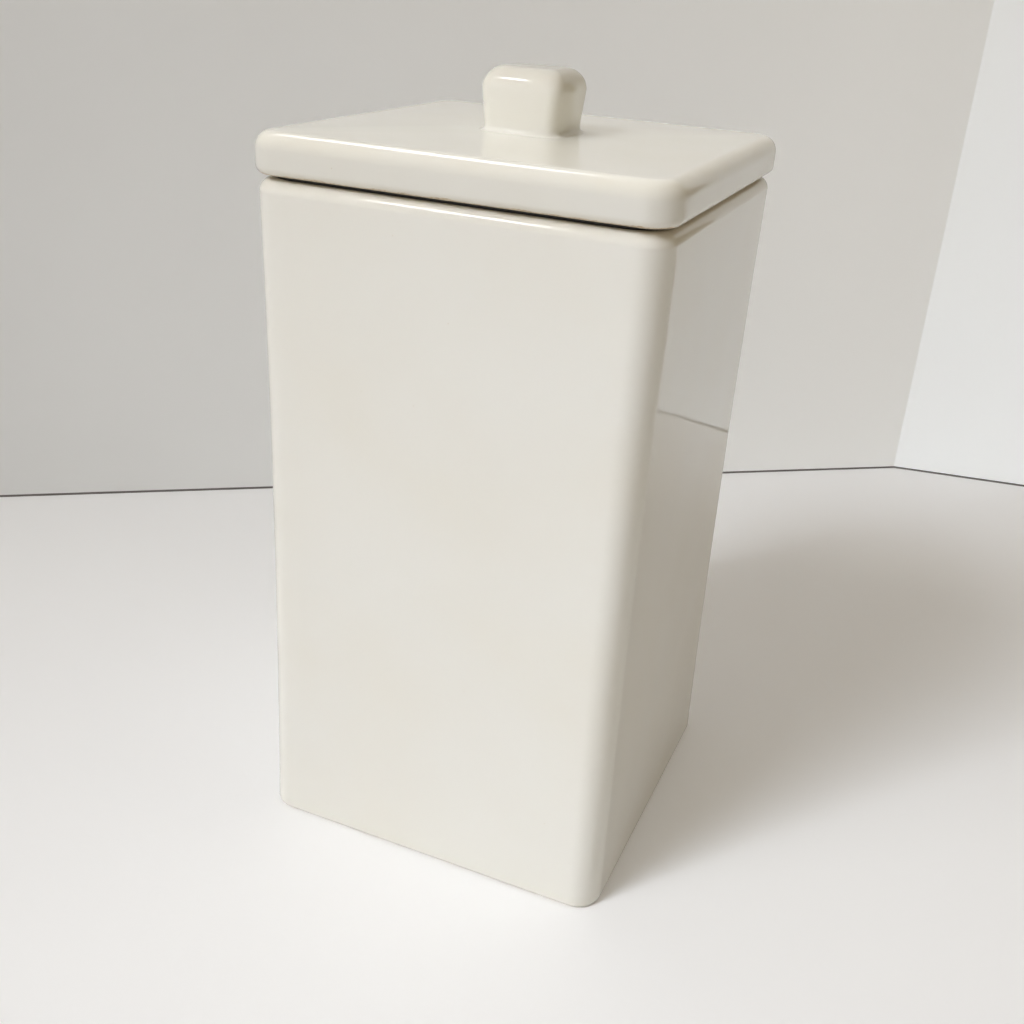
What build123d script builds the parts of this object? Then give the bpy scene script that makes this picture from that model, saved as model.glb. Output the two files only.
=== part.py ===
"""A tall square stoneware canister with a lift-off lid, in millimetres, +Z up.

The origin is in the middle of the base, on the plane that the foot ring stands on. The front face
looks along -Y. Four pieces are made: the slip-cast body, the slab lid with the flange that locates
it in the mouth, the knob that is fired to the lid, and the elastomer seal round the flange. The lid
rests on the seal's thin top web, and the web rests on the flat land of the rim, which leaves the
narrow open seam that shows all round.
"""

from build123d import *
from math import sqrt
import os

# Body, outside
body_width = 127.0
body_height = 225.6
wall_bow = 0.85
corner_radius = 9.0
rim_radius = 4.2
foot_edge_radius = 1.8

# Body, inside
wall_thickness = 6.5
floor_thickness = 8.0
inner_corner_radius = 7.5
inner_floor_radius = 5.0
mouth_edge_radius = 0.8

# Foot ring that the body stands on
foot_ring_width = 7.0
foot_recess = 1.5
foot_recess_radius = 1.0

# Lid slab
seam_gap = 1.1
lid_overhang = 0.8
lid_thickness = 12.7
lid_top_radius = 5.0
lid_under_radius = 2.5
lid_plate = 6.5

# Flange under the lid, and the groove that holds the seal on it
flange_space = 3.6
flange_depth = 14.0
flange_wall = 5.0
flange_edge_radius = 1.2
recess_corner_radius = 5.0
recess_ceiling_radius = 3.0
groove_drop = 5.5
groove_height = 2.4
groove_depth = 0.9

# Seal
seal_fit = 0.1
seal_sleeve = 1.2
seal_length = 10.0
fin_count = 3
fin_root = 1.3
fin_tip = 0.5
running_clearance = 0.3
web_setback = 3.2
least_corner_radius = 1.0

# Knob
knob_neck = 25.6
knob_top = 28.4
knob_height = 19.0
knob_corner_radius = 6.0
knob_top_radius = 5.8
flare_radius = 1.2
flare_lip = 0.3
flare_edge = 0.5
knob_offset_x = -0.8
knob_offset_y = -1.2

# Places that follow from the sizes above
body_half = body_width / 2
inner_half = body_half - wall_thickness
bow_radius = ((body_height / 2) ** 2 + wall_bow**2) / (2 * wall_bow)
lid_under = body_height + seam_gap
lid_top = lid_under + lid_thickness
lid_half = body_half + lid_overhang
flange_half = inner_half - flange_space
flange_low = lid_under - flange_depth
groove_top = lid_under - groove_drop


def drawn_in(height):
    """How far a wall has drawn in at a height, on one arc from the foot to the rim."""
    return wall_bow - bow_radius + sqrt(bow_radius**2 - (height - body_height / 2) ** 2)


def bowed_block(half_width, low, high, radius):
    """A square block whose four sides follow the wall's arc, with rounded upright corners."""
    heights = (low, (low + high) / 2, high)
    with BuildPart() as block:
        for view, mode in ((Plane.XZ, Mode.ADD), (Plane.YZ, Mode.INTERSECT)):
            with BuildSketch(view):
                with BuildLine():
                    right = ThreePointArc(*[(half_width - drawn_in(z), z) for z in heights])
                    left = ThreePointArc(*[(drawn_in(z) - half_width, z) for z in heights])
                    Line(right @ 0, left @ 0)
                    Line(right @ 1, left @ 1)
                make_face()
            extrude(amount=half_width, both=True, mode=mode)
        bowed_corners = block.edges().filter_by(GeomType.LINE, reverse=True)
        fillet(bowed_corners, radius)
    return block.part


def mouth_corner(half_width):
    """The corner radius that keeps a square ring concentric with the mouth's own corners."""
    return max(inner_corner_radius - (inner_half - half_width), least_corner_radius)


# Body: a bowed shell with a rounded rim, open at the top, on a plain foot ring
outer_block = bowed_block(body_half, 0, body_height, corner_radius)
inner_block = bowed_block(inner_half, floor_thickness, body_height, inner_corner_radius)

with BuildPart() as cavity:
    add(inner_block)
    fillet(cavity.faces().sort_by(Axis.Z)[0].edges(), inner_floor_radius)

with BuildPart() as canister_body:
    add(outer_block)
    fillet(canister_body.faces().sort_by(Axis.Z)[-1].edges(), rim_radius)
    fillet(canister_body.faces().sort_by(Axis.Z)[0].edges(), foot_edge_radius)
    add(cavity.part, mode=Mode.SUBTRACT)
    fillet(canister_body.faces().sort_by(Axis.Z)[-1].inner_wires()[0].edges(), mouth_edge_radius)
    with BuildSketch(Plane.XY):
        ring_inside = 2 * (body_half - foot_ring_width)
        RectangleRounded(ring_inside, ring_inside, corner_radius)
    extrude(amount=foot_recess, mode=Mode.SUBTRACT)
    recess_roof = canister_body.faces().filter_by(Axis.Z).sort_by(Axis.Z)[1]
    fillet(recess_roof.edges(), foot_recess_radius)

# Lid: a rounded slab, with the flange that drops into the mouth and a recess inside the flange
with BuildPart() as lid:
    with BuildSketch(Plane.XY.offset(lid_under)):
        RectangleRounded(2 * lid_half, 2 * lid_half, corner_radius + lid_overhang)
    extrude(amount=lid_thickness)
    fillet(lid.faces().sort_by(Axis.Z)[-1].edges(), lid_top_radius)
    fillet(lid.faces().sort_by(Axis.Z)[0].edges(), lid_under_radius)
    with BuildSketch(Plane.XY.offset(flange_low)):
        RectangleRounded(2 * flange_half, 2 * flange_half, mouth_corner(flange_half))
    extrude(amount=flange_depth)
    fillet(lid.faces().sort_by(Axis.Z)[0].edges(), flange_edge_radius)
    with BuildSketch(Plane.XY.offset(flange_low)):
        recess_half = flange_half - flange_wall
        RectangleRounded(2 * recess_half, 2 * recess_half, recess_corner_radius)
    extrude(amount=flange_depth + lid_thickness - lid_plate, mode=Mode.SUBTRACT)
    recess_ceiling = lid.faces().filter_by(Axis.Z).sort_by(Axis.Z)[-2]
    fillet(recess_ceiling.edges(), recess_ceiling_radius)
    with BuildSketch(Plane.XY.offset(groove_top - groove_height)):
        RectangleRounded(2 * lid_half, 2 * lid_half, corner_radius)
        groove_half = flange_half - groove_depth
        floor_corner = mouth_corner(groove_half)
        RectangleRounded(2 * groove_half, 2 * groove_half, floor_corner, mode=Mode.SUBTRACT)
    extrude(amount=groove_height, mode=Mode.SUBTRACT)

# Seal: a top web on the rim's land, a sleeve round the flange, fins towards the mouth, a rib inside
bore_half = flange_half + seal_fit
sleeve_half = bore_half + seal_sleeve
seal_low = lid_under - seal_length
fin_pitch = (seal_length - seam_gap) / fin_count
fin_slope = (fin_root - fin_tip) / 2


def fin_band(low):
    """One fin and the sleeve above it. Its tip keeps the running clearance from the mouth's wall."""
    tip_low = low + fin_slope
    tip_half = inner_half - drawn_in(tip_low) - running_clearance
    outline = [
        (low, sleeve_half),
        (tip_low, tip_half),
        (tip_low + fin_tip, tip_half),
        (low + fin_root, sleeve_half),
        (low + fin_pitch, sleeve_half),
    ]
    with BuildPart() as band:
        for height, half in outline:
            with BuildSketch(Plane.XY.offset(height)):
                RectangleRounded(2 * half, 2 * half, mouth_corner(half))
        loft(ruled=True)
    return band.part


fin_bands = [fin_band(seal_low + fin * fin_pitch) for fin in range(fin_count)]

with BuildPart() as lid_seal:
    add(fin_bands)
    with BuildSketch(Plane.XY.offset(body_height)):
        web_half = body_half - web_setback
        RectangleRounded(2 * web_half, 2 * web_half, mouth_corner(web_half))
    extrude(amount=seam_gap)
    with BuildSketch(Plane.XY.offset(seal_low)):
        RectangleRounded(2 * bore_half, 2 * bore_half, mouth_corner(bore_half))
    extrude(amount=seal_length, mode=Mode.SUBTRACT)
    with BuildSketch(Plane.XY.offset(groove_top - groove_height + seal_fit)):
        rib_outer = bore_half + seal_sleeve / 2
        rib_inner = bore_half - groove_depth
        RectangleRounded(2 * rib_outer, 2 * rib_outer, mouth_corner(rib_outer))
        RectangleRounded(2 * rib_inner, 2 * rib_inner, mouth_corner(rib_inner), mode=Mode.SUBTRACT)
    extrude(amount=groove_height - 2 * seal_fit)

# Knob: a rounded square block, narrower at its neck, on a small flared foot of slip
knob_plane = Plane((knob_offset_x, knob_offset_y, lid_top))
foot_spread = flare_radius + flare_lip
foot_width = knob_neck + 2 * foot_spread

with BuildPart() as lid_knob:
    with BuildSketch(knob_plane):
        Rectangle(knob_neck, knob_neck)
    with BuildSketch(knob_plane.offset(knob_height)):
        Rectangle(knob_top, knob_top)
    loft(ruled=True)
    fillet(lid_knob.edges().filter_by(Plane.XY, reverse=True), knob_corner_radius)
    fillet(lid_knob.faces().sort_by(Axis.Z)[-1].edges(), knob_top_radius)
    with BuildSketch(knob_plane):
        RectangleRounded(foot_width, foot_width, knob_corner_radius + foot_spread)
    extrude(amount=flare_edge)
    foot_top = lid_knob.faces().filter_by(Axis.Z).sort_by(Axis.Z)[1]
    fillet(foot_top.inner_wires()[0].edges(), flare_radius)

pieces = {
    "canister_body": canister_body,
    "lid": lid,
    "lid_seal": lid_seal,
    "lid_knob": lid_knob,
}
os.makedirs("parts", exist_ok=True)
for name, piece in pieces.items():
    piece.part.label = name
    export_step(piece.part, f"parts/{name}.step")
    print(name, "volume", round(piece.part.volume / 1000, 1), "cm3")
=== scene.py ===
# %% [markdown]
# # A square kitchen canister in ivory glaze
# The real thing is slip-cast stoneware: a tall square body, a slab lid that lifts off, a small
# square knob that is fired to the lid, and a ring seal round the lid's flange. The seal is black
# here, which also paints the shade in the seam under the lid. All of it but the seal is dipped in
# a glossy ivory glaze. This lesson dresses the measured model of it. Each surface gets the soft
# edges, the faint waviness and the finish that the maker's process leaves.

# %% Load the frame
import bpy
from math import ceil, cos, pi, radians, sin, sqrt
from mathutils import Matrix, Vector


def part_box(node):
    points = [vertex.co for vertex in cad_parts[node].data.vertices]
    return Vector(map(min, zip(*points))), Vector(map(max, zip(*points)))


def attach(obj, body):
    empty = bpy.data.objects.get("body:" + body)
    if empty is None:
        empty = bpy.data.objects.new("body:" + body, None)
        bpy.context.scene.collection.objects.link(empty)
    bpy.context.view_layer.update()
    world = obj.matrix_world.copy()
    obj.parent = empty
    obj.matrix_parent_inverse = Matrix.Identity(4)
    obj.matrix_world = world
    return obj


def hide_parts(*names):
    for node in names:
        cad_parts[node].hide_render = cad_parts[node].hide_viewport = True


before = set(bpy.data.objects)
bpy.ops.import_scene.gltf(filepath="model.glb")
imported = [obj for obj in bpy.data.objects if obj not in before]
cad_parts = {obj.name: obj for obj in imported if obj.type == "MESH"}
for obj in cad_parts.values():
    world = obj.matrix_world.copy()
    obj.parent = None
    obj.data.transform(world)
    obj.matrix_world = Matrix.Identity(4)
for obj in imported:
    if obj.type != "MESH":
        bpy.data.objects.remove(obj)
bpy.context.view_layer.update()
print("nodes:", sorted(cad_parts))

# %% [markdown]
# ## Sizes
# The frame gives the outside of every piece. What it can't give, such as a wall's thickness or the
# radius of an edge, is named here once, in the maker's millimetres. Everything that follows is
# worked out from these two.

# %% Read the outside sizes from the frame
mm = 0.001

body_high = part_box("canister_body")[1]
lid_low, lid_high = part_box("lid")
seal_low, seal_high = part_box("lid_seal")
knob_low, knob_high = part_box("lid_knob")

body_half, body_height = body_high.x, body_high.z
lid_half, lid_top, flange_low = lid_high.x, lid_high.z, lid_low.z
web_half, lid_under, seal_foot = seal_high.x, seal_high.z, seal_low.z
knob_centre = (knob_low + knob_high) / 2
knob_height = knob_high.z - lid_top
print(
    "body is", round(body_half * 2 / mm, 1), "mm wide and", round(body_height / mm, 1), "mm tall"
)

# %% Name the sizes that the outside doesn't show
wall_bow = 0.85 * mm
corner_radius = 9.0 * mm
rim_radius = 4.2 * mm
foot_edge_radius = 1.8 * mm
wall_thickness = 6.5 * mm
floor_thickness = 8.0 * mm
inner_corner_radius = 7.5 * mm
inner_floor_radius = 5.0 * mm
mouth_edge_radius = 0.8 * mm
foot_ring_width = 7.0 * mm
foot_recess = 1.5 * mm
foot_recess_radius = 1.0 * mm

lid_top_radius = 5.0 * mm
lid_under_radius = 2.5 * mm
lid_plate = 6.5 * mm
flange_space = 3.6 * mm
flange_wall = 5.0 * mm
flange_edge_radius = 1.2 * mm
recess_corner_radius = 5.0 * mm
recess_ceiling_radius = 3.0 * mm
groove_drop = 5.5 * mm
groove_height = 2.4 * mm
groove_depth = 0.9 * mm

seal_fit = 0.1 * mm
seal_sleeve = 1.2 * mm
fin_count = 3
fin_root = 1.3 * mm
fin_tip = 0.5 * mm
running_clearance = 0.3 * mm
least_corner_radius = 1.0 * mm

knob_neck_half = 12.8 * mm
knob_taper = 1.4 * mm
knob_corner_radius = 4.6 * mm
knob_top_radius = 5.8 * mm
flare_height = 1.5 * mm
print("the wall is", round(wall_thickness / mm, 1), "mm thick")

# %% Work out the places that follow from them
inner_half = body_half - wall_thickness
flange_half = inner_half - flange_space
recess_half = flange_half - flange_wall
recess_ceiling = lid_top - lid_plate
groove_top = lid_under - groove_drop
bow_radius = ((body_height / 2) ** 2 + wall_bow**2) / (2 * wall_bow)


def drawn_in(height):
    """How far the wall has drawn in at a height, because walls sink in the middle as they dry."""
    return wall_bow - bow_radius + sqrt(bow_radius**2 - (height - body_height / 2) ** 2)


def mouth_corner(half):
    """The plan radius that keeps a ring's corners concentric with the mouth's own corners."""
    return max(inner_corner_radius - (inner_half - half), least_corner_radius)


print("mouth is", round(inner_half * 2 / mm, 1), "mm wide")

# %% [markdown]
# ## One helper for every node
# Shader trees and Geometry Nodes trees are both made of nodes with settings and links. They could
# be wired by hand in the editor, but a script can be read, measured and run again. So one small
# function adds any node. It takes what goes into the sockets, by order or by name, and the node's
# own settings as keywords.

# %% Add a node with its settings and links
def add_node(tree, kind, inputs=(), **settings):
    """Adds a node. inputs is a list in socket order or a dict by name, and a socket is linked."""
    node = tree.nodes.new(kind)
    for setting, value in settings.items():
        setattr(node, setting, value)
    pairs = inputs.items() if isinstance(inputs, dict) else enumerate(inputs)
    for place, value in pairs:
        if isinstance(value, bpy.types.NodeSocket):
            tree.links.new(value, node.inputs[place])
        elif value is not None:
            node.inputs[place].default_value = value
    return node


def linear(hex_colour):
    """An sRGB hex colour as the linear RGBA that a socket takes."""
    parts = [int(hex_colour[place : place + 2], 16) / 255 for place in (1, 3, 5)]
    bent = [((part + 0.055) / 1.055) ** 2.4 if part > 0.04045 else part / 12.92 for part in parts]
    return (*bent, 1.0)


print("middle grey is", round(linear("#808080")[0], 3), "in linear light")

# %% [markdown]
# ## The glaze
# Ivory stoneware glaze is a layer of glass, about half a millimetre thick, full of fine white
# opacifier. It gives a mirror-like skin with soft reflections over a warm, even white. Where it
# runs thin over an edge, the buff clay warms it. It is never quite flat: it has a faint
# orange-peel ripple, a few pinholes where gas escaped, and small differences in tone as it pools.
# Where the potter wipes it off, so that the pot doesn't stick to the kiln shelf, the bare clay is
# matt and sandy, with an uneven glaze line. A picture of glaze could be wrapped round the pot, but
# it would stretch at the corners and repeat. Noise on Object coordinates doesn't, and each of its
# scales is worked out from a size in millimetres. The meshes carry two attributes of their own:
# thin_glaze on outer edges, and wiped where the glaze is wiped off. A few short helpers come
# first, so that the glaze itself reads as a recipe.

# %% Shorten what every material repeats
def blank_material(name):
    """A new material, and its node tree with nothing in it."""
    material = bpy.data.materials.new(name)
    material.use_nodes = True
    material.node_tree.nodes.clear()
    return material, material.node_tree


def maths(tree, operation, *values, kind="ShaderNodeMath", **settings):
    """The result of a maths node."""
    return add_node(tree, kind, values, operation=operation, **settings).outputs[0]


def blend(tree, share, first, second):
    """The first colour where the share is 0, the second where it is 1."""
    colours = {0: share, 6: first, 7: second}
    return add_node(tree, "ShaderNodeMix", colours, data_type="RGBA").outputs[2]


def patchy(tree, place, size, detail):
    """Noise from 0 to 1 in patches of about this size. More detail adds finer ones."""
    values = {"Vector": place, "Scale": 1 / size, "Detail": detail}
    return add_node(tree, "ShaderNodeTexNoise", values).outputs["Fac"]


def colour_ramp(tree, value, positions, hex_colours):
    """A colour that runs from the first to the second as the value passes the two positions."""
    ramp = add_node(tree, "ShaderNodeValToRGB", [value])
    for stop, position, hex_colour in zip(ramp.color_ramp.elements, positions, hex_colours):
        stop.position = position
        stop.color = linear(hex_colour)
    return ramp.outputs["Color"]


def seen(tree):
    """1 for a ray that sees or mirrors the surface, 0 for one that gathers its light."""
    rays = add_node(tree, "ShaderNodeLightPath").outputs
    straight_or_mirrored = maths(tree, "MAXIMUM", rays["Is Camera Ray"], rays["Is Glossy Ray"])
    return maths(tree, "MAXIMUM", straight_or_mirrored, rays["Is Transmission Ray"])


print("helpers: blank_material, maths, blend, patchy, colour_ramp and seen")

# %% Mix the glaze
tone_patch = 55 * mm
cloud_patch = 14 * mm
orange_peel = 3.2 * mm
peel_depth = 0.003 * mm
pinhole_spacing = 9 * mm
pinhole_radius = 0.22 * mm
clay_grit = 0.7 * mm
grit_depth = 0.05 * mm
glaze_line_wander = 5 * mm

glaze_ior = 1.52
glaze_roughness = (0.03, 0.06)
clay_roughness = 0.85
noise_low, noise_high = 0.3, 0.7
tone_ramp = (0.35, 0.65)
clay_ramp = (0.35, 0.6)
pit_against_peel = -6.0
line_raggedness = 0.6
line_start, line_end = 0.76, 0.84
pinhole_colour = "#CFC2A6"
dark_clay, pale_clay = "#B5A184", "#D8CBB2"


def glazed_stoneware(name, main, warm, cool, thin):
    """Glossy opaque glaze over buff stoneware clay, with the clay bare where the mesh says so."""
    material, tree = blank_material(name)
    place = add_node(tree, "ShaderNodeTexCoord").outputs["Object"]
    thin_edge = add_node(tree, "ShaderNodeAttribute", attribute_name="thin_glaze").outputs["Fac"]
    wiped = add_node(tree, "ShaderNodeAttribute", attribute_name="wiped").outputs["Fac"]

    patches = patchy(tree, place, tone_patch, 2.0)
    clouds = patchy(tree, place, cloud_patch, 3.0)
    tones = colour_ramp(tree, patches, tone_ramp, (warm, cool))
    pooled = blend(tree, clouds, tones, linear(main))
    thinning = maths(tree, "MULTIPLY", thin_edge, clouds)
    glaze_colour = blend(tree, thinning, pooled, linear(thin))

    pin_cells = add_node(
        tree,
        "ShaderNodeTexVoronoi",
        {"Vector": place, "Scale": 1 / pinhole_spacing, "Randomness": 1.0},
    )
    pinhole = add_node(
        tree,
        "ShaderNodeMapRange",
        [pin_cells.outputs["Distance"], 0.0, pinhole_radius / pinhole_spacing, 1.0, 0.0],
        interpolation_type="SMOOTHSTEP",
    ).outputs[0]
    glaze_specked = blend(tree, pinhole, glaze_colour, linear(pinhole_colour))

    line_noise = patchy(tree, place, glaze_line_wander, 4.0)
    uneven = maths(tree, "MULTIPLY_ADD", line_noise, line_raggedness, wiped)
    bare = add_node(
        tree,
        "ShaderNodeMapRange",
        [uneven, line_start, line_end, 0.0, 1.0],
        interpolation_type="SMOOTHSTEP",
    ).outputs[0]
    grit = patchy(tree, place, clay_grit, 5.0)
    clay = colour_ramp(tree, grit, clay_ramp, (dark_clay, pale_clay))
    colour = blend(tree, bare, glaze_specked, clay)

    gloss = add_node(
        tree, "ShaderNodeMapRange", [clouds, noise_low, noise_high, *glaze_roughness]
    ).outputs[0]
    roughness = add_node(tree, "ShaderNodeMix", {0: bare, 2: gloss, 3: clay_roughness}).outputs[0]

    peel = patchy(tree, place, orange_peel, 1.0)
    pitted = maths(tree, "MULTIPLY_ADD", pinhole, pit_against_peel, peel)
    skin = add_node(
        tree, "ShaderNodeBump", {"Strength": 1.0, "Distance": peel_depth, "Height": pitted}
    ).outputs[0]
    sand = maths(tree, "MULTIPLY", grit, bare)
    relief = add_node(
        tree,
        "ShaderNodeBump",
        {"Strength": 1.0, "Distance": grit_depth, "Height": sand, "Normal": skin},
    ).outputs[0]

    shader = add_node(
        tree,
        "ShaderNodeBsdfPrincipled",
        {"Base Color": colour, "Roughness": roughness, "Normal": relief, "IOR": glaze_ior},
    )
    add_node(tree, "ShaderNodeOutputMaterial", [shader.outputs[0]])
    return material


body_glaze = glazed_stoneware("ivory_glaze_on_body", "#E9E7DE", "#E8E5DA", "#EAE9E2", "#E4DFD0")
lid_glaze = glazed_stoneware("ivory_glaze_on_lid", "#E8E6DD", "#E7E4D9", "#E9E8E1", "#E4DFD0")
knob_glaze = glazed_stoneware("ivory_glaze_on_knob", "#EDEBE1", "#EBE8DC", "#EEEDE5", "#E6E1D2")
print("mixed", body_glaze.name, lid_glaze.name, knob_glaze.name)

# %% [markdown]
# ## The seal's rubber
# The ring is moulded from soft elastomer. It is black, and that black is painted shade as well as
# its colour: the web shows in the gap under the lid as the seam's near-black line. It has a satin
# skin from the mould, slightly paler where the fins rub against the mouth, and a few flecks of
# flour or rice dust. Plain black would do while the lid is on, when only that dark line shows.
# The fins show when it is lifted, so the rubber gets its own grain, wear and dust.

# %% Mix the rubber
mould_grain = 0.5 * mm
grain_depth = 0.02 * mm
dust_patch = 6 * mm
rubber_ior = 1.5
rubber_roughness = (0.45, 0.62)
dust_from, dust_to, most_dust = 0.55, 0.8, 0.25
paler_where_rubbed = 0.2
# The black also paints the shade in the seam under the lid, where the seal's web shows.
black_rubber_and_seam_shade, rubber_dusty = "#110F0E", "#5C5650"


def moulded_rubber(name):
    """Satin black elastomer, with mould grain and a little pale dust. Its black also paints the
    shade in the seam.
    """
    material, tree = blank_material(name)
    place = add_node(tree, "ShaderNodeTexCoord").outputs["Object"]
    grain = patchy(tree, place, mould_grain, 3.0)
    dust = patchy(tree, place, dust_patch, 6.0)
    rubbed = add_node(tree, "ShaderNodeAttribute", attribute_name="wiped").outputs["Fac"]
    dusty = add_node(
        tree, "ShaderNodeMapRange", [dust, dust_from, dust_to, 0.0, most_dust]
    ).outputs[0]
    worn = maths(tree, "MULTIPLY_ADD", rubbed, paler_where_rubbed, dusty)
    colour = blend(tree, worn, linear(black_rubber_and_seam_shade), linear(rubber_dusty))
    roughness = add_node(
        tree, "ShaderNodeMapRange", [grain, noise_low, noise_high, *rubber_roughness]
    ).outputs[0]
    relief = add_node(
        tree, "ShaderNodeBump", {"Strength": 1.0, "Distance": grain_depth, "Height": grain}
    ).outputs[0]
    shader = add_node(
        tree,
        "ShaderNodeBsdfPrincipled",
        {"Base Color": colour, "Roughness": roughness, "Normal": relief, "IOR": rubber_ior},
    )
    add_node(tree, "ShaderNodeOutputMaterial", [shader.outputs[0]])
    return material


seal_rubber = moulded_rubber("black_elastomer_and_seam_shade")
print("mixed", seal_rubber.name)

# %% [markdown]
# ## Outlines
# Every piece here is a square with rounded corners. Boxes with bevels could make them, but bevels
# of different radii fight where they meet. One outline, half of a cut through the middle, says all
# about a piece and states each radius once. An outline is a list of legs. Each leg ends at a half
# width and a height, and says how it gets there: straight, along the bow of the wall, or as a
# quarter round. It also gives the corner radius that the piece has there, seen from above, and
# what the glaze does. Clay slumps a little as it is fired, so a top is crowned: its sag is how far
# its outermost points have gone down.

# %% Describe a leg and cut it into stations
longest_step = 2.5 * mm
round_steps = 16


def leg(way, half, height, plan, wiped=0.0, thin=0.0, ripple=1.0, sag=0.0):
    """One leg of an outline. way says how it gets to its half width and height.

    It is straight, bowed like the wall, or a quarter round that is across_first or upright_first.
    """
    marks = {"wiped": wiped, "thin": thin, "ripple": ripple, "sag": sag}
    return {"way": way, "half": half, "height": height, "plan": plan, **marks}


def mix(start, end, share):
    """A value part of the way from start to end."""
    return start + (end - start) * share


def stations(legs):
    """The points along an outline: half width, height, plan radius, wiped, thin glaze, ripple."""
    first = legs[0]
    widest = max(stop["half"] for stop in legs)
    points = [tuple(first[key] for key in ("half", "height", "plan", "wiped", "thin", "ripple"))]
    for before, now in zip(legs, legs[1:]):
        run = Vector((now["half"] - before["half"], now["height"] - before["height"])).length
        rounded = now["way"].endswith("first")
        steps = round_steps if rounded else max(1, ceil(run / longest_step))
        for step in range(1, steps + 1):
            share = step / steps
            across = along = share
            if now["way"] == "across_first":
                across, along = sin(share * pi / 2), 1 - cos(share * pi / 2)
            if now["way"] == "upright_first":
                across, along = 1 - cos(share * pi / 2), sin(share * pi / 2)
            half = mix(before["half"], now["half"], across)
            height = mix(before["height"], now["height"], along)
            plan = mix(before["plan"], now["plan"], across)
            if now["way"] == "bowed":
                offset = before["half"] + drawn_in(before["height"])
                half = offset - drawn_in(height)
            height -= mix(before["sag"], now["sag"], share) * (half / widest) ** 2
            points.append(
                (
                    half,
                    height,
                    plan,
                    mix(before["wiped"], now["wiped"], share),
                    now["thin"] * sin(share * pi) if rounded else 0.0,
                    mix(before["ripple"], now["ripple"], share),
                )
            )
    return points


def outline_object(name, legs):
    """The outline as loose points in the XZ plane. Attributes carry what each point says."""
    points = stations(legs)
    mesh = bpy.data.meshes.new(name)
    mesh.from_pydata([(half, 0.0, height) for half, height, *_ in points], [], [])
    for place, label in ((2, "plan_radius"), (3, "wiped"), (4, "thin_glaze"), (5, "ripple")):
        attribute = mesh.attributes.new(label, "FLOAT", "POINT")
        attribute.data.foreach_set("value", [point[place] for point in points])
    piece = bpy.data.objects.new(name, mesh)
    bpy.context.scene.collection.objects.link(piece)
    print(name, "has", len(points), "stations")
    return piece


print(
    "a quarter round has", round_steps, "steps; a straight one is", longest_step / mm, "mm at most"
)

# %% [markdown]
# ## The square turning
# A lathe sweeps an outline round a circle, and so does a Screw modifier. This Geometry Nodes tree
# does it round a rounded square: it lays a grid with one row for each station and one column for
# each step round the plan, and moves each grid point to its place. Columns crowd at the corners,
# where the surface turns. The seam and the poles are merged, so that the shell is closed. Then a
# slow noise moves glazed surfaces inwards, by a tenth of a millimetre or so. That is the waviness
# of cast walls under glaze, and it is what makes a straight line look wavy when it is reflected in
# one. Only a bump in the material would be cheaper, but it would be lost from the mesh that others
# reuse.

turning = bpy.data.node_groups.new("square_turning", "GeometryNodeTree")
turning.interface.new_socket("Geometry", in_out="OUTPUT", socket_type="NodeSocketGeometry")
for label, kind in (
    ("Outline", "NodeSocketGeometry"),
    ("Steps along a side", "NodeSocketInt"),
    ("Steps round a corner", "NodeSocketInt"),
    ("Centre", "NodeSocketVector"),
    ("Pillow", "NodeSocketFloat"),
    ("Ripple depth", "NodeSocketFloat"),
    ("Ripple length", "NodeSocketFloat"),
    ("Seed", "NodeSocketFloat"),
    ("Finish", "NodeSocketMaterial"),
):
    turning.interface.new_socket(label, in_out="INPUT", socket_type=kind)
given = add_node(turning, "NodeGroupInput").outputs
print("the turning takes", len(turning.interface.items_tree) - 1, "inputs")

# %% Number the grid's rows and columns
whole_numbers = "FunctionNodeIntegerMath"
outline_points = add_node(
    turning, "GeometryNodeAttributeDomainSize", [given["Outline"]], component="MESH"
).outputs["Point Count"]
quarter = maths(
    turning, "ADD", given["Steps along a side"], given["Steps round a corner"], kind=whole_numbers
)
columns = maths(turning, "MULTIPLY_ADD", quarter, 4, 1, kind=whole_numbers)
grid = add_node(
    turning, "GeometryNodeMeshGrid", {"Vertices X": outline_points, "Vertices Y": columns}
).outputs["Mesh"]
index = add_node(turning, "GeometryNodeInputIndex").outputs[0]
station = maths(turning, "DIVIDE_FLOOR", index, columns, kind=whole_numbers)
column = maths(turning, "MODULO", index, columns, kind=whole_numbers)
side = maths(turning, "DIVIDE_FLOOR", column, quarter, kind=whole_numbers)
within = maths(turning, "MODULO", column, quarter, kind=whole_numbers)
print("nodes that number the grid:", len(turning.nodes))

# %% Look up what the outline says at each station
place = add_node(turning, "GeometryNodeInputPosition").outputs[0]
outline_place = add_node(
    turning,
    "GeometryNodeSampleIndex",
    {"Geometry": given["Outline"], "Value": place, "Index": station},
    data_type="FLOAT_VECTOR",
).outputs[0]
half_and_height = add_node(turning, "ShaderNodeSeparateXYZ", [outline_place]).outputs


def from_outline(label):
    """The value of one of the outline's attributes at this station."""
    named = add_node(
        turning, "GeometryNodeInputNamedAttribute", [label], data_type="FLOAT"
    ).outputs[0]
    return add_node(
        turning,
        "GeometryNodeSampleIndex",
        {"Geometry": given["Outline"], "Value": named, "Index": station},
        data_type="FLOAT",
    ).outputs[0]


plan_radius = from_outline("plan_radius")
print("nodes with the look-up:", len(turning.nodes))

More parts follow.
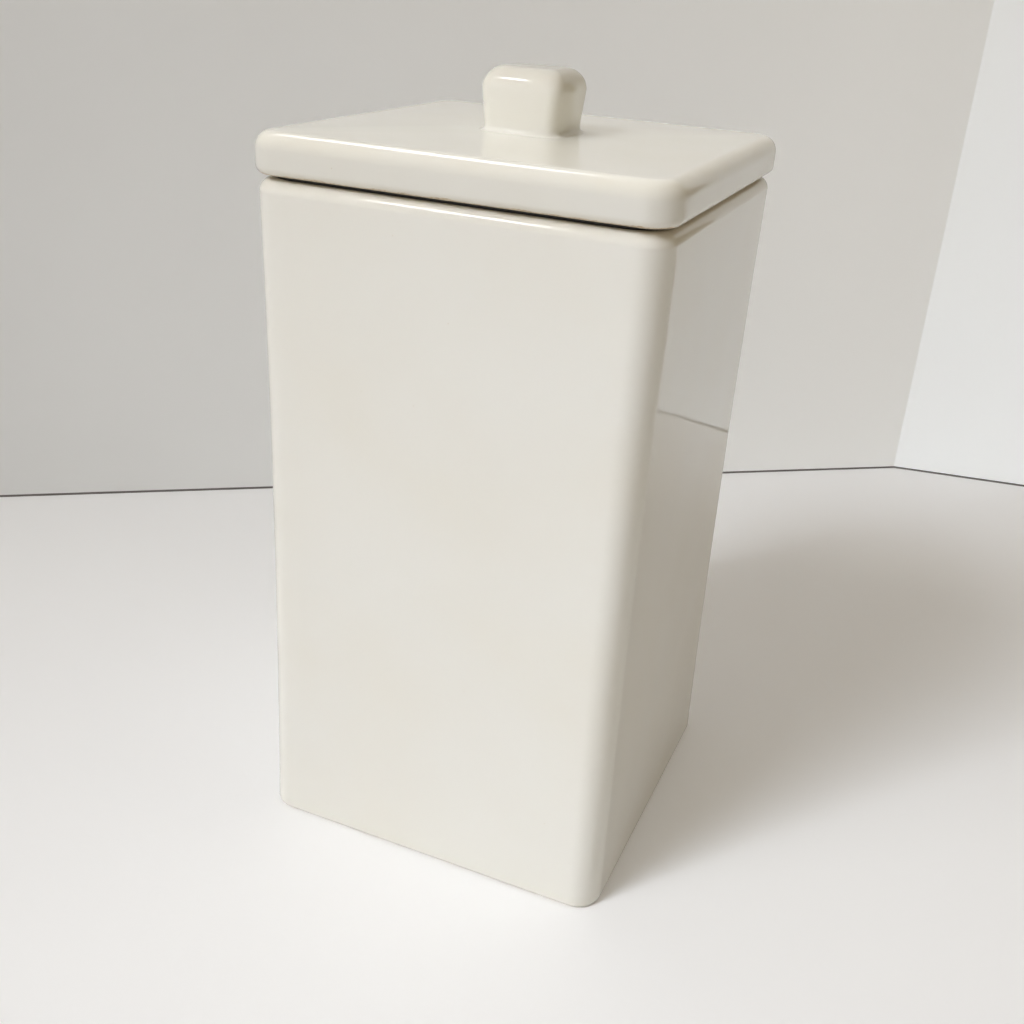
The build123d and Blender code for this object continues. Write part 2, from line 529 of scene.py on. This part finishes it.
# %% Place each point on the rounded square
side_share = maths(turning, "DIVIDE", within, given["Steps along a side"], use_clamp=True)
past_side = maths(turning, "SUBTRACT", within, given["Steps along a side"])
corner_share = maths(turning, "DIVIDE", past_side, given["Steps round a corner"], use_clamp=True)
turn = maths(turning, "MULTIPLY", corner_share, pi / 2)
turn_cos = maths(turning, "COSINE", turn)
turn_sin = maths(turning, "SINE", turn)
full_half = maths(turning, "SUBTRACT", half_and_height["X"], plan_radius)
pillow = maths(turning, "MULTIPLY", full_half, given["Pillow"])
straight_half = maths(turning, "SUBTRACT", full_half, pillow)
both_ways = maths(turning, "MULTIPLY_ADD", side_share, 2.0, -1.0)
off_middle = maths(turning, "MULTIPLY", both_ways, both_ways)
middling = maths(turning, "SUBTRACT", 1.0, off_middle)
bulged_half = maths(turning, "MULTIPLY_ADD", middling, pillow, straight_half)
out = maths(turning, "MULTIPLY_ADD", turn_cos, plan_radius, bulged_half)
slid = maths(turning, "MULTIPLY", both_ways, straight_half)
sideways = maths(turning, "MULTIPLY_ADD", turn_sin, plan_radius, slid)
on_one_side = add_node(
    turning, "ShaderNodeCombineXYZ", [out, sideways, half_and_height["Z"]]
).outputs[0]
side_angle = maths(turning, "MULTIPLY", side, pi / 2)
on_its_side = add_node(
    turning,
    "ShaderNodeVectorRotate",
    {"Vector": on_one_side, "Angle": side_angle},
    rotation_type="Z_AXIS",
).outputs[0]
in_place = add_node(
    turning, "ShaderNodeVectorMath", [on_its_side, given["Centre"]], operation="ADD"
).outputs[0]
shell = add_node(
    turning, "GeometryNodeSetPosition", {"Geometry": grid, "Position": in_place}
).outputs[0]
print("nodes with the placing:", len(turning.nodes))

# %% Carry the marks over, close the shell and let the glaze ripple
merge_distance = 0.005 * mm

for label in ("wiped", "thin_glaze", "ripple"):
    shell = add_node(
        turning,
        "GeometryNodeStoreNamedAttribute",
        {"Geometry": shell, "Name": label, "Value": from_outline(label)},
        data_type="FLOAT",
        domain="POINT",
    ).outputs[0]
closed = add_node(
    turning, "GeometryNodeMergeByDistance", {"Geometry": shell, "Distance": merge_distance}
).outputs[0]
facing_out = add_node(turning, "GeometryNodeFlipFaces", [closed]).outputs[0]
waves = add_node(
    turning,
    "ShaderNodeVectorMath",
    {0: place, 1: given["Ripple length"]},
    operation="DIVIDE",
).outputs[0]
noise = add_node(
    turning,
    "ShaderNodeTexNoise",
    {"Vector": waves, "W": given["Seed"], "Scale": 1.0, "Detail": 1.0},
    noise_dimensions="4D",
).outputs[0]
allowed = add_node(
    turning, "GeometryNodeInputNamedAttribute", ["ripple"], data_type="FLOAT"
).outputs[0]
wave = maths(turning, "MULTIPLY", noise, allowed)
depth = maths(turning, "MULTIPLY", wave, given["Ripple depth"])
inward = maths(turning, "MULTIPLY", depth, -1.0)
normal = add_node(turning, "GeometryNodeInputNormal").outputs[0]
sunk = add_node(
    turning, "ShaderNodeVectorMath", {0: normal, "Scale": inward}, operation="SCALE"
).outputs[0]
rippled = add_node(
    turning, "GeometryNodeSetPosition", {"Geometry": facing_out, "Offset": sunk}
).outputs[0]
smooth = add_node(turning, "GeometryNodeSetShadeSmooth", {"Geometry": rippled}).outputs[0]
real = add_node(turning, "GeometryNodeRealizeInstances", [smooth]).outputs[0]
finished = add_node(
    turning, "GeometryNodeSetMaterial", {"Geometry": real, "Material": given["Finish"]}
).outputs[0]
add_node(turning, "NodeGroupOutput", [finished])
print("the turning has", len(turning.nodes), "nodes")

# %% [markdown]
# The modifier takes its inputs by their sockets' identifiers. The turned shape is then baked into
# a plain mesh, which then stands in place of the frame's node.

# %% Turn an outline into a piece
side_steps = 52
corner_steps = 16
ripple_seed = 4.0


def turn_piece(
    name, legs, body, node, finish, ripple_depth, ripple_length, centre=(0, 0, 0), pillow=0.0
):
    """Sweeps and bakes an outline. The result rides on its body in place of the frame's node."""
    outline = outline_object(name + "_outline", legs)
    modifier = outline.modifiers.new("turning", "NODES")
    modifier.node_group = turning
    values = {
        "Steps along a side": side_steps,
        "Steps round a corner": corner_steps,
        "Centre": centre,
        "Pillow": pillow,
        "Ripple depth": ripple_depth,
        "Ripple length": ripple_length,
        "Seed": ripple_seed,
        "Finish": finish,
    }
    for item in turning.interface.items_tree:
        if item.name in values:
            modifier[item.identifier] = values[item.name]
    bpy.context.view_layer.update()
    evaluated = outline.evaluated_get(bpy.context.evaluated_depsgraph_get())
    mesh = bpy.data.meshes.new_from_object(evaluated)
    mesh.name = name
    bpy.data.objects.remove(outline)
    piece = bpy.data.objects.new(name, mesh)
    bpy.context.scene.collection.objects.link(piece)
    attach(piece, body)
    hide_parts(node)
    triangles = sum(len(face.vertices) - 2 for face in mesh.polygons)
    print(name, "has", triangles, "triangles")
    return piece


print("each turn takes", 4 * (side_steps + corner_steps) + 1, "columns")

# %% [markdown]
# ## The body
# The body is cast in a plaster mould, and its walls sank in a little as the clay dried. The
# outline starts in the middle of the base, crosses the shallow recess to the foot ring, climbs the
# bowed wall, goes over the thick rounded rim and down inside to the floor. Outside and inside in
# one outline make one closed shell with a real thickness, where a thin skin with a modifier would
# guess at the rim. The foot ring is wiped bare. The rim's flat land doesn't ripple, because the
# seal lies on it.

# %% Draw and turn the body
foot_outline = body_half - foot_ring_width
land_outer = body_half - rim_radius
land_inner = inner_half + mouth_edge_radius
floor_edge = inner_half - inner_floor_radius
floor_round_top = floor_thickness + inner_floor_radius
floor_middle = 20 * mm
foot_inner_edge = 0.5 * mm

recess_edge = foot_outline - foot_recess_radius
recess_corner = corner_radius - foot_recess_radius
recess_low = foot_recess - foot_recess_radius
ring_inner = foot_outline + foot_inner_edge
ring_outer = body_half - foot_edge_radius
ring_corner = corner_radius - foot_edge_radius
wall_foot = body_half - drawn_in(foot_edge_radius)
rim_corner = corner_radius - rim_radius
mouth_edge_corner = inner_corner_radius + mouth_edge_radius
mouth_edge_low = body_height - mouth_edge_radius
floor_corner = inner_corner_radius - inner_floor_radius

body_outline = [
    leg("straight", 0.0, foot_recess, 0.0),
    leg("straight", floor_middle, foot_recess, corner_radius),
    leg("straight", recess_edge, foot_recess, recess_corner),
    leg("across_first", foot_outline, recess_low, corner_radius, wiped=0.5, ripple=0.0),
    leg("upright_first", ring_inner, 0.0, corner_radius, wiped=1.0, ripple=0.0),
    leg("straight", ring_outer, 0.0, ring_corner, wiped=1.0, ripple=0.0),
    leg("across_first", wall_foot, foot_edge_radius, corner_radius, thin=0.6),
    leg("bowed", body_half, body_height - rim_radius, corner_radius),
    leg("upright_first", land_outer, body_height, rim_corner, thin=1.0, ripple=0.0),
    leg("straight", land_inner, body_height, mouth_edge_corner, ripple=0.0),
    leg("across_first", inner_half, mouth_edge_low, inner_corner_radius, thin=1.0, ripple=0.0),
    leg("bowed", inner_half, floor_round_top, inner_corner_radius, ripple=0.5),
    leg("upright_first", floor_edge, floor_thickness, floor_corner),
    leg("straight", floor_middle, floor_thickness, corner_radius),
    leg("straight", 0.0, floor_thickness, 0.0),
]
body = turn_piece(
    "glazed_body",
    body_outline,
    "canister",
    "canister_body",
    body_glaze,
    ripple_depth=0.14 * mm,
    ripple_length=34 * mm,
)

# %% [markdown]
# ## The lid
# The lid is a slab with a soft top edge, and a flange below it that drops into the mouth. A groove
# in the flange holds the seal. The slab's underside is wiped bare where it stands in the kiln. A
# flat top would mirror the room like a pane of glass, so the top is crowned by less than a
# millimetre, as a fired slab is.

# %% Draw and turn the lid
lid_corner_radius = corner_radius + lid_half - body_half
recess_edge_radius = 0.8 * mm
groove_edge = 0.2 * mm
lid_sag = 0.7 * mm
dome_plan = 0.8
groove_half = flange_half - groove_depth
groove_foot = groove_top - groove_height

lip_half = flange_half - flange_edge_radius
lip_corner = mouth_corner(lip_half)
flange_corner = mouth_corner(flange_half)
groove_corner = mouth_corner(groove_half)
groove_round = groove_half + groove_edge
ceiling_half = recess_half - recess_ceiling_radius
ceiling_corner = recess_corner_radius - recess_ceiling_radius
ceiling_low = recess_ceiling - recess_ceiling_radius
lip_inner = recess_half + recess_edge_radius
lip_round_top = flange_low + flange_edge_radius
groove_floor_low = groove_foot + groove_edge
groove_floor_high = groove_top - groove_edge
under_half = lid_half - lid_under_radius
under_corner = lid_corner_radius - lid_under_radius
top_half = lid_half - lid_top_radius
top_corner = lid_corner_radius - lid_top_radius

lid_outline = [
    leg("straight", 0.0, recess_ceiling, 0.0),
    leg("straight", floor_middle, recess_ceiling, corner_radius),
    leg("straight", ceiling_half, recess_ceiling, ceiling_corner),
    leg("across_first", recess_half, ceiling_low, recess_corner_radius),
    leg("straight", recess_half, flange_low + recess_edge_radius, recess_corner_radius),
    leg("upright_first", lip_inner, flange_low, recess_corner_radius, thin=1.0),
    leg("straight", lip_half, flange_low, lip_corner),
    leg("across_first", flange_half, lip_round_top, flange_corner, thin=1.0, ripple=0.0),
    leg("straight", flange_half, groove_foot, flange_corner, ripple=0.0),
    leg("straight", groove_round, groove_foot, groove_corner, wiped=1.0, ripple=0.0),
    leg("across_first", groove_half, groove_floor_low, groove_corner, wiped=1.0, ripple=0.0),
    leg("straight", groove_half, groove_floor_high, groove_corner, wiped=1.0, ripple=0.0),
    leg("upright_first", groove_round, groove_top, groove_corner, wiped=1.0, ripple=0.0),
    leg("straight", flange_half, groove_top, flange_corner, ripple=0.0),
    leg("straight", flange_half, lid_under, flange_corner, wiped=1.0, ripple=0.0),
    leg("straight", under_half, lid_under, under_corner, wiped=0.9, ripple=0.0),
    leg("across_first", lid_half, lid_under + lid_under_radius, lid_corner_radius, thin=0.8),
    leg("straight", lid_half, lid_top - lid_top_radius, lid_corner_radius, sag=lid_sag),
    leg("upright_first", top_half, lid_top, top_corner, thin=1.0, sag=lid_sag),
    leg("straight", floor_middle, lid_top, dome_plan * floor_middle, sag=lid_sag),
    leg("straight", 0.0, lid_top, 0.0, sag=lid_sag),
]
lid = turn_piece(
    "glazed_lid",
    lid_outline,
    "lid_assembly",
    "lid",
    lid_glaze,
    ripple_depth=0.06 * mm,
    ripple_length=38 * mm,
)

# %% [markdown]
# ## The knob
# The knob is a rounded square block, a little wider at the top, so that fingers don't slip. It
# could be modelled from a subdivided box, but turning it like the rest keeps its measured width
# and height. Its sides are pillowed a little and its top is crowned, so that no part of it is
# quite flat. It is stuck on with slip, which leaves the small flare at its foot. The flare's edge
# runs out into the lid, so the outline starts just below the lid's surface.

# %% Draw and turn the knob
sunk_in_lid = 0.3 * mm
flare_half = (knob_high.x - knob_low.x) / 2
shoulder = lid_top + knob_height - knob_top_radius
shoulder_half = knob_neck_half + knob_taper * (knob_height - knob_top_radius) / knob_height
knob_top_half = shoulder_half - knob_top_radius
flare_corner = knob_corner_radius + flare_half - knob_neck_half
knob_top_corner = 3.2 * mm
knob_sag = 0.9 * mm
knob_pillow = 0.05

knob_outline = [
    leg("straight", 0.0, lid_top - sunk_in_lid, 0.0),
    leg("straight", flare_half, lid_top - sunk_in_lid, flare_corner),
    leg("straight", flare_half, lid_top, flare_corner, ripple=0.0),
    leg("across_first", knob_neck_half, lid_top + flare_height, knob_corner_radius),
    leg("straight", shoulder_half, shoulder, knob_corner_radius, sag=knob_sag),
    leg("upright_first", knob_top_half, knob_high.z, knob_top_corner, thin=1.0, sag=knob_sag),
    leg("straight", knob_top_half / 2, knob_high.z, dome_plan * knob_top_half / 2, sag=knob_sag),
    leg("straight", 0.0, knob_high.z, 0.0, sag=knob_sag),
]
turn_piece(
    "glazed_knob",
    knob_outline,
    "lid_assembly",
    "lid_knob",
    knob_glaze,
    ripple_depth=0.1 * mm,
    ripple_length=11 * mm,
    centre=(knob_centre.x, knob_centre.y, 0.0),
    pillow=knob_pillow,
)

# %% [markdown]
# ## The seal
# The seal's outline is a closed loop, drawn the same way round as the others, so that its faces
# point outwards too. It goes down the bore past the rib that sits in the groove, up past three
# fins that reach for the mouth's wall, and round the thin web that lies on the rim. A profile
# swept along a curve would pinch at the corners. Turned like the rest, the ring stays concentric
# with the mouth.

# %% Draw and turn the seal
bore_half = flange_half + seal_fit
sleeve_half = bore_half + seal_sleeve
rib_half = bore_half - groove_depth
rib_foot = groove_foot + seal_fit
rib_top = groove_top - seal_fit
fin_pitch = (body_height - seal_foot) / fin_count
fin_slope = (fin_root - fin_tip) / 2


def seal_leg(half, height, rubbed=0.0):
    """A straight leg of the seal, whose corners are concentric with the mouth's."""
    return leg("straight", half, height, mouth_corner(half), wiped=rubbed, ripple=0.0)


seal_outline = [
    seal_leg(bore_half, lid_under),
    seal_leg(bore_half, rib_top),
    seal_leg(rib_half, rib_top),
    seal_leg(rib_half, rib_foot),
    seal_leg(bore_half, rib_foot),
    seal_leg(bore_half, seal_foot),
]
for fin in range(fin_count):
    low = seal_foot + fin * fin_pitch
    tip_half = inner_half - drawn_in(low + fin_slope) - running_clearance
    seal_outline += [
        seal_leg(sleeve_half, low),
        seal_leg(tip_half, low + fin_slope, rubbed=1.0),
        seal_leg(tip_half, low + fin_slope + fin_tip, rubbed=1.0),
        seal_leg(sleeve_half, low + fin_root),
    ]
seal_outline += [
    seal_leg(sleeve_half, body_height),
    seal_leg(web_half, body_height),
    seal_leg(web_half, lid_under),
    seal_leg(bore_half, lid_under),
]
turn_piece(
    "ring_seal",
    seal_outline,
    "lid_assembly",
    "lid_seal",
    seal_rubber,
    ripple_depth=0.0,
    ripple_length=40 * mm,
)

# %% [markdown]
# ## The stage
# The table is pale and matt. A low grey backdrop stands behind on the left and a pale board on the
# right. Glaze shows what stands round it, so these give the side of the canister something to
# reflect, which an empty studio wouldn't. They are close behind, and their backs are see-through,
# so that they hide nothing from behind. The grey backdrop is painted darker towards its left end,
# as painted shade. A thin dark strip along the foot of each board is a painted shadow, for the
# shade in the gap under it.

# %% Lay the table and stand up the backdrop
table_size = 8.0
backdrop_height = 0.46
wall_left = Vector((-0.911, -0.320))
wall_corner = Vector((0.107, 0.406))
board_right = Vector((0.195, 0.420))
foot_gap = 1.3 * mm
painted_shade_left_x, painted_shade_right_x = -0.45, 0.05
mottles_per_metre = 9.0
mottle_least = 0.97
card_roughness = 0.8
card_specular = 0.2


def flat_material(name, hex_colour, lift=0.0, one_sided=False, left_painted_shade=1.0):
    """Matt card with a faint mottle. lift makes it paler to whatever looks at it.

    left_painted_shade paints shade on it, darker evenly towards the left, where less of the light
    reaches the backdrop.
    """
    material, tree = blank_material(name)
    place = add_node(tree, "ShaderNodeTexCoord").outputs["Object"]
    mottle = patchy(tree, place, 1 / mottles_per_metre, 2.0)
    mottle_and_painted_shade = add_node(tree, "ShaderNodeMapRange", [mottle, 0.0, 1.0, mottle_least, 1.0]).outputs[0]
    # Painted shade: the card darkens evenly towards the left, down to left_painted_shade at the
    # far left.
    across = add_node(tree, "ShaderNodeSeparateXYZ", [place]).outputs["X"]
    leftward_painted_shade = add_node(
        tree, "ShaderNodeMapRange", [across, painted_shade_left_x, painted_shade_right_x, left_painted_shade, 1.0]
    ).outputs[0]
    mottle_and_painted_shade = maths(tree, "MULTIPLY", mottle_and_painted_shade, leftward_painted_shade)
    colour = add_node(
        tree, "ShaderNodeMixRGB", [1.0, linear(hex_colour), mottle_and_painted_shade], blend_type="MULTIPLY"
    ).outputs[0]
    shader = add_node(
        tree,
        "ShaderNodeBsdfPrincipled",
        {"Base Color": colour, "Roughness": card_roughness, "Specular IOR Level": card_specular},
    ).outputs[0]
    lifted = maths(tree, "MULTIPLY", seen(tree), lift)
    glow = add_node(tree, "ShaderNodeEmission", [colour, lifted]).outputs[0]
    shader = add_node(tree, "ShaderNodeAddShader", [shader, glow]).outputs[0]
    if one_sided:
        clear = add_node(tree, "ShaderNodeBsdfTransparent").outputs[0]
        back = add_node(tree, "ShaderNodeNewGeometry").outputs["Backfacing"]
        shader = add_node(tree, "ShaderNodeMixShader", [back, shader, clear]).outputs[0]
    add_node(tree, "ShaderNodeOutputMaterial", [shader])
    return material


def stage_piece(name, corners, material):
    """A flat stage piece from its four corners."""
    mesh = bpy.data.meshes.new(name)
    mesh.from_pydata(corners, [], [(0, 1, 2, 3)])
    mesh.materials.append(material)
    piece = bpy.data.objects.new(name, mesh)
    bpy.context.scene.collection.objects.link(piece)
    return piece


def upright(name, left, right, material, height=backdrop_height, forward=0.0):
    """A board that stands on the table between two points and faces the canister."""
    high = Vector((0.0, 0.0, height))
    along = (right - left).normalized()
    to_front = Vector((along.y, -along.x)) * forward
    feet = [(point + to_front).to_3d() for point in (left, right)]
    return stage_piece(name, [feet[0], feet[1], feet[1] + high, feet[0] + high], material)


reach = table_size / 2
stage_piece(
    "table",
    [(-reach, -reach, 0), (reach, -reach, 0), (reach, reach, 0), (-reach, reach, 0)],
    flat_material("white_laminate", "#F2F2F2", 0.12),
)
# Painted shadow: a dark strip at each board's foot stands for the shade in the gap under it.
painted_shadow_strip = flat_material("painted_shadow_under_card", "#7C7876", one_sided=True)
# The grey backdrop's last number paints shade on it, darker towards its left end.
for name, left, right, colour, lift, left_painted_shade in (
    ("grey_backdrop", wall_left, wall_corner, "#F0F1F0", 0.19, 0.71),
    ("pale_board", wall_corner, board_right, "#F6F9FA", 0.18, 1.0),
):
    card = flat_material(name + "_card", colour, lift, one_sided=True, left_painted_shade=left_painted_shade)
    upright(name, left, right, card)
    upright(name + "_gap", left, right, painted_shadow_strip, height=foot_gap, forward=foot_gap)
print("the table is", table_size, "m wide and the boards are", backdrop_height, "m tall")

# %% [markdown]
# ## Light
# One big soft source stands low at the front left, as a window would. Its beam is narrow and is
# aimed past the canister, so that the table is brightest on the right. A ceiling light, for the
# lid alone, evens out its flat top. Glaze would mirror these two as hard white patches, so they
# light it without being reflected. Two small lamps are there to be reflected: one draws the thin
# bright line along the lid's edge, the other the line along the rim. Each would draw a second line
# on the other piece, so light linking keeps them apart.

# %% Hang the lights
look_at = Vector((0.0, 0.0, body_height / 2))
pool_centre = Vector((0.42, -0.05, -0.34))


def soft_box(
    name, direction, distance, size, watts, spread, colour="#FFFFFF", aim=look_at, mirrored=True
):
    """An area light off in a direction. Its beam, spread degrees wide, faces aim."""
    light = bpy.data.lights.new(name, "AREA")
    light.shape = "RECTANGLE"
    light.size, light.size_y = size
    light.energy = watts
    light.color = linear(colour)[:3]
    light.spread = radians(spread)
    lamp = bpy.data.objects.new(name, light)
    bpy.context.scene.collection.objects.link(lamp)
    away = Vector(direction).normalized()
    lamp.location = look_at + away * distance
    lamp.rotation_euler = (lamp.location - aim).to_track_quat("Z", "Y").to_euler()
    lamp.visible_glossy = mirrored
    return lamp


def link_light(lamp, piece, state):
    """Lets a lamp light this piece alone, with INCLUDE, or all but this piece, with EXCLUDE."""
    receivers = bpy.data.collections.new(lamp.name + "_receivers")
    receivers.objects.link(piece)
    receivers.collection_objects[0].light_linking.link_state = state
    lamp.light_linking.receiver_collection = receivers


soft_box(
    "window_light",
    direction=(-0.34, -0.72, 0.60),
    distance=3.0,
    size=(1.0, 1.0),
    watts=3.5,
    spread=34,
    colour="#F0F6FF",
    aim=pool_centre,
    mirrored=False,
)
ceiling_light = soft_box(
    "ceiling_light",
    direction=(-0.1, -0.1, 1.0),
    distance=1.2,
    size=(0.8, 0.8),
    watts=1.35,
    spread=120,
    mirrored=False,
)
edge_light = soft_box(
    "edge_light",
    direction=(-0.42, 0.28, 0.86),
    distance=1.2,
    size=(0.30, 0.42),
    watts=0.30,
    spread=60,
)
rim_light = soft_box(
    "rim_light",
    direction=(-0.38, -0.50, 0.77),
    distance=1.4,
    size=(0.30, 0.16),
    watts=0.27,
    spread=60,
)
link_light(ceiling_light, lid, "INCLUDE")
link_light(edge_light, lid, "INCLUDE")
link_light(rim_light, lid, "EXCLUDE")
print("lamps:", sorted(light.name for light in bpy.data.lights))

# %% [markdown]
# ## The room
# The world is the rest of the room. It fills the shadows with a dim, warm, even light. On the
# right the room is darker and browner, and the glaze on that side shows it, so the world turns dim
# there. A picture of a room would show in the glaze as well, but two tones are enough for such
# soft reflections. The camera itself sees one plain pale tone all round, as a backdrop.

# %% Fill the room
fill_strength = 0.40
fill_pale, fill_dim = "#FAEAD6", "#D2C6AA"
room_pale, room_dim = "#EFECE7", "#85775F"
dim_side = Vector((0.91, 0.42, 0.0))
dim_from, dim_to = 0.3, 0.65

world = bpy.data.worlds.new("studio")
bpy.context.scene.world = world
world.use_nodes = True
sky = world.node_tree
sky.nodes.clear()
whence = add_node(sky, "ShaderNodeTexCoord").outputs["Generated"]
facing = add_node(
    sky, "ShaderNodeVectorMath", [whence, dim_side], operation="DOT_PRODUCT"
).outputs["Value"]
dimmed = add_node(
    sky,
    "ShaderNodeMapRange",
    [facing, dim_from, dim_to, 0.0, 1.0],
    interpolation_type="SMOOTHSTEP",
).outputs[0]


def both_sides(pale, dim):
    """A colour of the room that goes from pale to dim on the dim side."""
    return blend(sky, dimmed, linear(pale), linear(dim))


looking = seen(sky)
seen_straight = add_node(sky, "ShaderNodeLightPath").outputs["Is Camera Ray"]
strength = add_node(sky, "ShaderNodeMapRange", [looking, 0.0, 1.0, fill_strength, 1.0]).outputs[0]
fill_tone = both_sides(fill_pale, fill_dim)
mirrored_tone = both_sides(room_pale, room_dim)
tone = blend(sky, looking, fill_tone, mirrored_tone)
tone = blend(sky, seen_straight, tone, linear(room_pale))
room = add_node(sky, "ShaderNodeBackground", [tone, strength]).outputs[0]
add_node(sky, "ShaderNodeOutputWorld", [room])
print("the room's world has", len(sky.nodes), "nodes")

# %% [markdown]
# ## Camera
# The camera stands where it stood in the photograph: a little to the right of the front, above the
# lid, looking down, and leaning by almost four degrees. These numbers could be set by eye, but
# then the proportions would be wrong too, so they were fitted to the corners of the body and the
# lid.

# %% Place the camera
camera_turn = radians(21.833)
camera_tilt = radians(25.2395)
camera_lean = radians(3.7011)
camera_distance = 0.4148
camera_aim = Vector((0.00016, 0.0, 0.10812))
lens_length = 40.665
sensor_width = 36.0
nearest_seen = 0.01

lens = bpy.data.cameras.new("camera")
lens.lens = lens_length
lens.sensor_width = sensor_width
lens.clip_start = nearest_seen
camera = bpy.data.objects.new("camera", lens)
bpy.context.scene.collection.objects.link(camera)
turned = Matrix.Rotation(camera_turn, 4, "Z") @ Matrix.Rotation(pi / 2 - camera_tilt, 4, "X")
leaning = turned @ Matrix.Rotation(camera_lean, 4, "Z")
camera_place = camera_aim + leaning.to_3x3() @ Vector((0, 0, camera_distance))
camera.matrix_world = Matrix.Translation(camera_place) @ leaning
bpy.context.scene.camera = camera
bpy.context.scene.view_settings.view_transform = "Standard"
print("camera at", [round(value / mm, 1) for value in camera.matrix_world.translation])

# %% [markdown]
# ## Finish
# The dressed canister has to fill the same box as the measured one. The script ends by bringing
# the scene up to date.

# %% Bring the scene up to date
bpy.context.view_layer.update()
